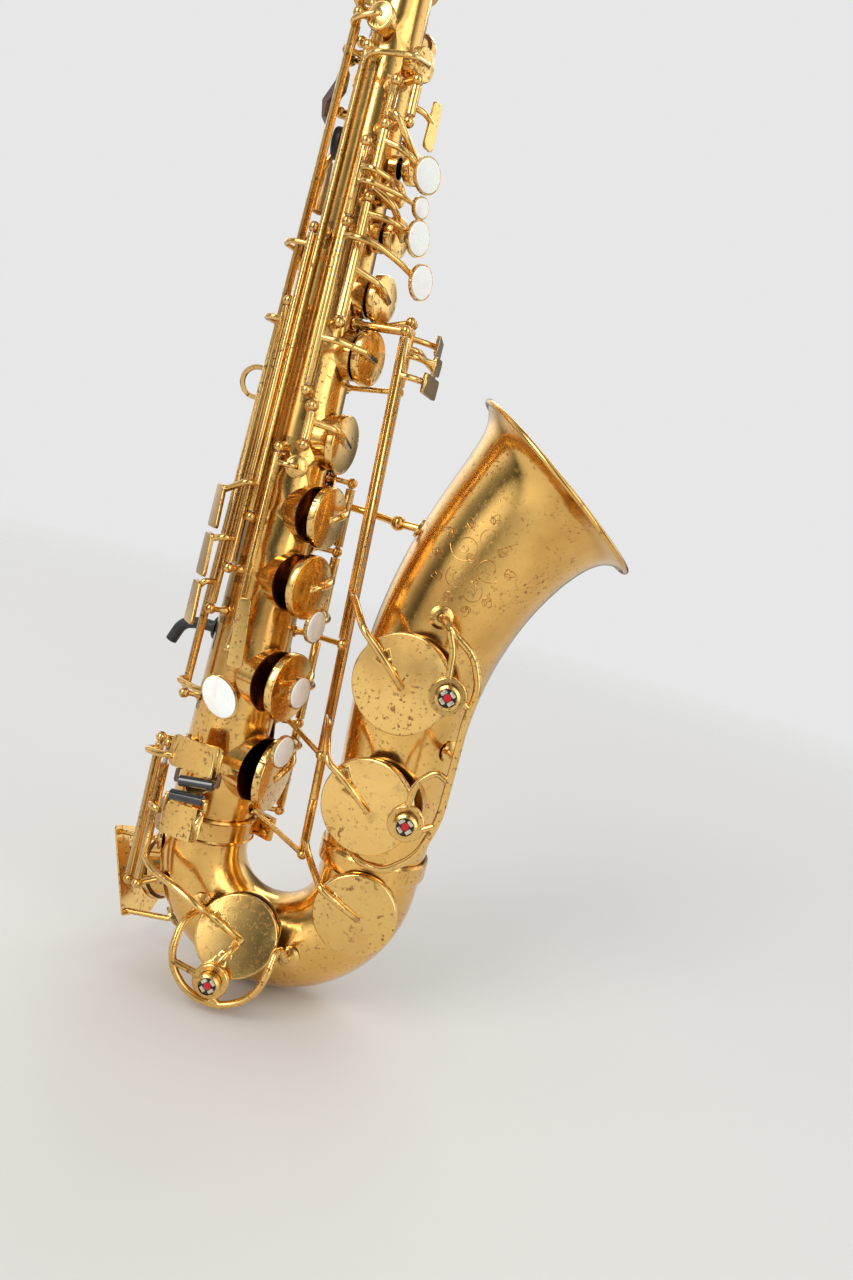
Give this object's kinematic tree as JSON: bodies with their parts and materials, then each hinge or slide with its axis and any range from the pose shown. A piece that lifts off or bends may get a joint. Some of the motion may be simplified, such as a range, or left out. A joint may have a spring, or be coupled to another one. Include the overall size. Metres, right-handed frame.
{
  "type": "alto saxophone",
  "caption": "Curved alto saxophone: conical brass tube, bow and flared bell with hinged keywork, strap ring, swivelling neck and sliding mouthpiece.",
  "frame": {"origin": "centre of the strap ring hole, on the middle plane of the instrument", "axes": "+Z along the body tube towards the neck, +X towards the bell, +Y to the left of the player, so the right-hand keys face -Y"},
  "size_m": [0.3654, 0.1255, 0.6564],
  "materials": {
    "body_lacquer": "gold lacquer, polished, lightly worn",
    "fitting_lacquer": "gold lacquer, polished",
    "key_lacquer": "gold lacquer, polished, with leather pads and pearl inlays in the same nodes",
    "rod_steel": "ground",
    "needle_steel": "blued",
    "screw_brass": "lacquered",
    "ligature_metal": "lacquered",
    "thumb_plastic": "satin black",
    "felt": "red felt with black ring",
    "cork": "natural cork",
    "ebonite": "polished black hard rubber",
    "cane": "bare cane",
    "roller_plastic": "gloss black",
    "dark_lever": "dark brown gloss"
  },
  "bodies": {
    "instrument": {"body_tube": "body_lacquer", "bow": "body_lacquer", "bell": "body_lacquer", "ball_posts": "fitting_lacquer", "pivot_rods": "rod_steel", "body_bow_clamp": "body_lacquer", "clamp_screws": "screw_brass", "bell_ferrule": "body_lacquer", "bell_brace": "body_lacquer", "strap_ring": "fitting_lacquer", "thumb_hook": "thumb_plastic", "thumb_rest": "thumb_plastic", "bell_key_guards": "fitting_lacquer", "bow_key_guards": "fitting_lacquer", "bumper_cups": "fitting_lacquer", "felt_bumpers": "felt", "needle_springs": "needle_steel", "neck_receiver": "body_lacquer"},
    "neck": {"neck_tube": "body_lacquer", "neck_cork": "cork", "neck_saddle": "fitting_lacquer"},
    "mouthpiece": {"mouthpiece": "ebonite", "reed": "cane", "ligature": "ligature_metal"},
    "d_key": {"d_key": "key_lacquer"},
    "e_key": {"e_key": "key_lacquer"},
    "f_key": {"f_key": "key_lacquer"},
    "fsharp_key": {"fsharp_key": "key_lacquer"},
    "gsharp_key": {"gsharp_key": "key_lacquer"},
    "g_key": {"g_key": "key_lacquer"},
    "a_key": {"a_key": "key_lacquer"},
    "b_key": {"b_key": "key_lacquer"},
    "c_key": {"c_key": "key_lacquer"},
    "bis_key": {"bis_key": "key_lacquer"},
    "high_e_key": {"high_e_key": "key_lacquer"},
    "side_c_key": {"side_c_key": "key_lacquer"},
    "side_bb_key": {"side_bb_key": "key_lacquer"},
    "high_fsharp_key": {"high_fsharp_key": "key_lacquer"},
    "alt_fsharp_key": {"alt_fsharp_key": "key_lacquer"},
    "palm_d_key": {"palm_d_key": "key_lacquer"},
    "palm_eb_key": {"palm_eb_key": "key_lacquer"},
    "palm_f_key": {"palm_f_key": "key_lacquer"},
    "front_f_key": {"front_f_key": "key_lacquer"},
    "octave_lever": {"octave_lever": "dark_lever"},
    "body_octave_key": {"body_octave_key": "key_lacquer"},
    "octave_rocker": {"octave_rocker": "key_lacquer"},
    "low_bb_key": {"low_bb_key": "key_lacquer"},
    "low_b_key": {"low_b_key": "key_lacquer"},
    "csharp_key": {"csharp_key": "key_lacquer"},
    "csharp_touch": {"csharp_touch": "key_lacquer"},
    "gsharp_touch": {"gsharp_touch": "key_lacquer"},
    "low_eb_key": {"low_eb_key": "key_lacquer"},
    "low_c_key": {"low_c_key": "key_lacquer"},
    "eb_roller": {"eb_roller": "roller_plastic"},
    "c_roller": {"c_roller": "roller_plastic"},
    "neck_clamp_screw": {"neck_clamp_screw": "screw_brass"},
    "neck_octave_key": {"neck_octave_key": "key_lacquer"},
    "ligature_screw_back": {"ligature_screw_back": "screw_brass"},
    "ligature_screw_front": {"ligature_screw_front": "screw_brass"}
  },
  "joints": [
    {"name": "d_key_hinge", "type": "hinge", "parent": "instrument", "child": "d_key", "pos_m": [0.0679, 0.0091, -0.2108], "axis": [0.0225, 0.0056, -0.9997], "range_deg": [0, 13], "stiffness_Nm_per_rad": 0.03, "springref_deg": -20.05},
    {"name": "e_key_hinge", "type": "hinge", "parent": "instrument", "child": "e_key", "pos_m": [0.06669, 0.0088, -0.1573], "axis": [0.0225, 0.0056, -0.9997], "range_deg": [0, 13], "stiffness_Nm_per_rad": 0.03, "springref_deg": -20.05},
    {"name": "f_key_hinge", "type": "hinge", "parent": "instrument", "child": "f_key", "pos_m": [0.06553, 0.00851, -0.1058], "axis": [0.0225, 0.0056, -0.9997], "range_deg": [0, 13], "stiffness_Nm_per_rad": 0.03, "springref_deg": -20.05},
    {"name": "fsharp_key_hinge", "type": "hinge", "parent": "instrument", "child": "fsharp_key", "pos_m": [0.06452, 0.00826, -0.0608], "axis": [0.0225, 0.0056, -0.9997], "range_deg": [0, 12], "stiffness_Nm_per_rad": 0.03, "springref_deg": -20.05},
    {"name": "gsharp_key_hinge", "type": "hinge", "parent": "instrument", "child": "gsharp_key", "pos_m": [0.03998, -0.02992, -0.0173], "axis": [0.0064, -0.0223, -0.9997], "range_deg": [0, 16], "stiffness_Nm_per_rad": 0.03, "springref_deg": -20.05},
    {"name": "g_key_hinge", "type": "hinge", "parent": "instrument", "child": "g_key", "pos_m": [0.0345, -0.02953, 0.0442], "axis": [-0.0024, 0.0231, 0.9997], "range_deg": [0, 9], "stiffness_Nm_per_rad": 0.03, "springref_deg": -20.05},
    {"name": "a_key_hinge", "type": "hinge", "parent": "instrument", "child": "a_key", "pos_m": [0.04229, -0.02696, 0.0707], "axis": [-0.0087, 0.0215, 0.9997], "range_deg": [0, 10], "stiffness_Nm_per_rad": 0.03, "springref_deg": -20.05},
    {"name": "b_key_hinge", "type": "hinge", "parent": "instrument", "child": "b_key", "pos_m": [0.04185, -0.02586, 0.1217], "axis": [-0.0087, 0.0215, 0.9997], "range_deg": [0, 11], "stiffness_Nm_per_rad": 0.03, "springref_deg": -20.05},
    {"name": "c_key_hinge", "type": "hinge", "parent": "instrument", "child": "c_key", "pos_m": [0.04159, -0.02523, 0.1512], "axis": [-0.0087, 0.0215, 0.9997], "range_deg": [0, 12], "stiffness_Nm_per_rad": 0.03, "springref_deg": -20.05},
    {"name": "bis_key_hinge", "type": "hinge", "parent": "instrument", "child": "bis_key", "pos_m": [0.03435, -0.02804, 0.1087], "axis": [-0.0024, 0.0231, 0.9997], "range_deg": [0, 9], "stiffness_Nm_per_rad": 0.03, "springref_deg": -20.05},
    {"name": "high_e_key_hinge", "type": "hinge", "parent": "instrument", "child": "high_e_key", "pos_m": [0.02147, -0.02458, 0.0522], "axis": [-0.0087, -0.0215, -0.9997], "range_deg": [0, 14], "stiffness_Nm_per_rad": 0.03, "springref_deg": -20.05},
    {"name": "side_c_key_hinge", "type": "hinge", "parent": "instrument", "child": "side_c_key", "pos_m": [0.01538, -0.02288, -0.0093], "axis": [0.0133, 0.019, 0.9997], "range_deg": [0, 14], "stiffness_Nm_per_rad": 0.03, "springref_deg": -20.05},
    {"name": "side_bb_key_hinge", "type": "hinge", "parent": "instrument", "child": "side_bb_key", "pos_m": [0.01009, -0.01919, -0.0413], "axis": [0.0173, 0.0155, 0.9997], "range_deg": [0, 14], "stiffness_Nm_per_rad": 0.03, "springref_deg": -20.05},
    {"name": "high_fsharp_key_hinge", "type": "hinge", "parent": "instrument", "child": "high_fsharp_key", "pos_m": [0.00733, -0.01334, 0.0087], "axis": [-0.0203, -0.0113, -0.9997], "range_deg": [0, 16], "stiffness_Nm_per_rad": 0.03, "springref_deg": -20.05},
    {"name": "alt_fsharp_key_hinge", "type": "hinge", "parent": "instrument", "child": "alt_fsharp_key", "pos_m": [0.02641, -0.02832, -0.0878], "axis": [-0.004, -0.0229, -0.9997], "range_deg": [0, 12], "stiffness_Nm_per_rad": 0.03, "springref_deg": -20.05},
    {"name": "palm_d_key_hinge", "type": "hinge", "parent": "instrument", "child": "palm_d_key", "pos_m": [0.03474, 0.02374, 0.1182], "axis": [-0.9903, 0.1392, 0], "range_deg": [0, 13], "stiffness_Nm_per_rad": 0.03, "springref_deg": -20.05},
    {"name": "palm_eb_key_hinge", "type": "hinge", "parent": "instrument", "child": "palm_eb_key", "pos_m": [0.01417, 0.01551, 0.1522], "axis": [-0.6691, -0.7431, 0], "range_deg": [0, 13], "stiffness_Nm_per_rad": 0.03, "springref_deg": -20.05},
    {"name": "palm_f_key_hinge", "type": "hinge", "parent": "instrument", "child": "palm_f_key", "pos_m": [0.03613, 0.02227, 0.1702], "axis": [-0.9781, 0.2079, 0], "range_deg": [0, 13], "stiffness_Nm_per_rad": 0.03, "springref_deg": -20.05},
    {"name": "front_f_key_hinge", "type": "hinge", "parent": "instrument", "child": "front_f_key", "pos_m": [0.05162, -0.02094, 0.1557], "axis": [-0.0161, 0.0167, 0.9997], "range_deg": [0, 9], "stiffness_Nm_per_rad": 0.03, "springref_deg": -20.05},
    {"name": "octave_lever_hinge", "type": "hinge", "parent": "instrument", "child": "octave_lever", "pos_m": [0.00882, 0, 0.1782], "axis": [0, -1, 0], "range_deg": [0, 9], "stiffness_Nm_per_rad": 0.03, "springref_deg": -20.05},
    {"name": "body_octave_key_hinge", "type": "hinge", "parent": "instrument", "child": "body_octave_key", "pos_m": [0.01607, 0.0148, 0.1902], "axis": [-0.6947, -0.7193, 0], "range_deg": [0, 12], "stiffness_Nm_per_rad": 0.03, "springref_deg": -20.05},
    {"name": "octave_rocker_hinge", "type": "hinge", "parent": "instrument", "child": "octave_rocker", "pos_m": [0.00842, 0, 0.2042], "axis": [0, -1, 0], "range_deg": [0, 4], "stiffness_Nm_per_rad": 0.03, "springref_deg": -20.05},
    {"name": "low_bb_key_hinge", "type": "hinge", "parent": "instrument", "child": "low_bb_key", "pos_m": [0.08, -0.016, -0.0418], "axis": [-0.0441, 0, 0.999], "range_deg": [0, 8.5], "stiffness_Nm_per_rad": 0.03, "springref_deg": -20.05},
    {"name": "low_b_key_hinge", "type": "hinge", "parent": "instrument", "child": "low_b_key", "pos_m": [0.0815, -0.0094, -0.0748], "axis": [-0.0445, 0, 0.999], "range_deg": [0, 8.5], "stiffness_Nm_per_rad": 0.03, "springref_deg": -20.05},
    {"name": "csharp_key_hinge", "type": "hinge", "parent": "instrument", "child": "csharp_key", "pos_m": [0.08877, -0.0028, -0.2371], "axis": [0.0443, 0, -0.999], "range_deg": [0, 12], "stiffness_Nm_per_rad": 0.03, "springref_deg": -20.05},
    {"name": "csharp_touch_hinge", "type": "hinge", "parent": "instrument", "child": "csharp_touch", "pos_m": [0.08211, -0.0028, -0.0867], "axis": [-0.0443, 0, 0.999], "range_deg": [0, 6], "stiffness_Nm_per_rad": 0.03, "springref_deg": -20.05},
    {"name": "gsharp_touch_hinge", "type": "hinge", "parent": "instrument", "child": "gsharp_touch", "pos_m": [0.0768, 0.0038, 0.0327], "axis": [-0.0432, 0, 0.9991], "range_deg": [0, 8], "stiffness_Nm_per_rad": 0.03, "springref_deg": -20.05},
    {"name": "low_eb_key_hinge", "type": "hinge", "parent": "instrument", "child": "low_eb_key", "pos_m": [-0.0021, -0.02, -0.2477], "axis": [0, 0, 1], "range_deg": [0, 12], "stiffness_Nm_per_rad": 0.03, "springref_deg": -20.05},
    {"name": "low_c_key_hinge", "type": "hinge", "parent": "instrument", "child": "low_c_key", "pos_m": [0.0049, -0.027, -0.251], "axis": [0, 0, 1], "range_deg": [0, 7], "stiffness_Nm_per_rad": 0.03, "springref_deg": -20.05},
    {"name": "eb_roller_spin", "type": "hinge", "parent": "low_eb_key", "child": "eb_roller", "pos_m": [0.01855, -0.04139, -0.21919], "axis": [0.9905, -0.0693, 0.1191], "continuous": true},
    {"name": "c_roller_spin", "type": "hinge", "parent": "low_c_key", "child": "c_roller", "pos_m": [0.01597, -0.04281, -0.22739], "axis": [0.9712, -0.2064, 0.1191], "continuous": true},
    {"name": "neck_clamp_screw_turn", "type": "hinge", "parent": "instrument", "child": "neck_clamp_screw", "pos_m": [0.0514, 0, 0.2302], "axis": [0, -1, 0], "range_deg": [0, 90]},
    {"name": "neck_swivel", "type": "hinge", "parent": "instrument", "child": "neck", "pos_m": [0.0314, 0, 0.2302], "axis": [0, 0, 1], "continuous": true},
    {"name": "neck_octave_key_hinge", "type": "hinge", "parent": "neck", "child": "neck_octave_key", "pos_m": [0.02047, 0, 0.31], "axis": [0, 1, 0], "range_deg": [0, 3.2], "stiffness_Nm_per_rad": 0.03, "springref_deg": -20.05},
    {"name": "mouthpiece_slide", "type": "slide", "parent": "neck", "child": "mouthpiece", "axis": [-0.9848, 0, -0.1736], "range_m": [-0.008, 0.012]},
    {"name": "ligature_screw_back_turn", "type": "hinge", "parent": "mouthpiece", "child": "ligature_screw_back", "pos_m": [-0.08146, 0, 0.27469], "axis": [0, -1, 0], "range_deg": [0, 90]},
    {"name": "ligature_screw_front_turn", "type": "hinge", "parent": "mouthpiece", "child": "ligature_screw_front", "pos_m": [-0.09327, 0, 0.2726], "axis": [0, -1, 0], "range_deg": [0, 90]}
  ],
  "couplings": [
    {"joint": "c_key_hinge", "follows": "b_key_hinge", "ratio": 1.09},
    {"joint": "fsharp_key_hinge", "follows": "f_key_hinge", "ratio": 0.923},
    {"joint": "gsharp_key_hinge", "follows": "gsharp_touch_hinge", "ratio": 2},
    {"joint": "csharp_key_hinge", "follows": "csharp_touch_hinge", "ratio": 2},
    {"joint": "octave_rocker_hinge", "follows": "octave_lever_hinge", "ratio": 0.444},
    {"joint": "body_octave_key_hinge", "follows": "octave_lever_hinge", "ratio": 1.333},
    {"joint": "neck_octave_key_hinge", "follows": "octave_lever_hinge", "ratio": 0.3555}
  ]
}
